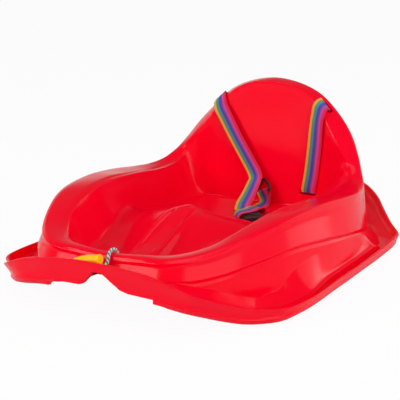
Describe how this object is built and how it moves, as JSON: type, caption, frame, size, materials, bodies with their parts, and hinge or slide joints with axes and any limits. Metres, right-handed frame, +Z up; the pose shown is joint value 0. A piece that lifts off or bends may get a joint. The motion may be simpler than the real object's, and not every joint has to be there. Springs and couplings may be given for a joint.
{
  "type": "plastic toddler sled",
  "caption": "Moulded plastic toddler sled with a high arched backrest, seat well with knee hump, wide gutter rim, striped safety webbing and a tow cord with a pull grip.",
  "frame": {"origin": "middle of the box that holds the sled, on the surface it stands on", "axes": "+Z up, -Y the bow (front), +Y the backrest and tail, +X the rider's left when seated facing the bow"},
  "size_m": [0.492, 0.7184, 0.2642],
  "materials": {
    "red_plastic": "gloss",
    "striped_webbing": "matte",
    "black_plastic": "satin",
    "bar_steel": "satin",
    "tow_cord_fibre": "matte",
    "yellow_plastic": "gloss"
  },
  "bodies": {
    "sled": {"sled_shell": "red_plastic", "shoulder_strap_left": "striped_webbing", "shoulder_strap_right": "striped_webbing", "lap_strap": "striped_webbing", "buckle_socket": "black_plastic", "shoulder_bar_left": "bar_steel", "shoulder_bar_right": "bar_steel", "hip_bar_right": "bar_steel", "tow_cord_root": "tow_cord_fibre", "tow_cord_coil": "tow_cord_fibre", "tow_cord_lead": "tow_cord_fibre", "tow_knot": "tow_cord_fibre", "tow_grip": "yellow_plastic"},
    "ring": {"delta_ring": "black_plastic"},
    "plug": {"buckle_plug": "black_plastic"}
  },
  "joints": [
    {"name": "ring_swing", "type": "hinge", "parent": "sled", "child": "ring", "pos_m": [-0.001, 0.1462, 0.0735], "axis": [0.8566, -0.2399, 0.4568], "range_deg": [0, 75]},
    {"name": "plug_release", "type": "slide", "parent": "sled", "child": "plug", "axis": [0.72, -0.694, 0], "range_m": [0, 0.03]}
  ]
}
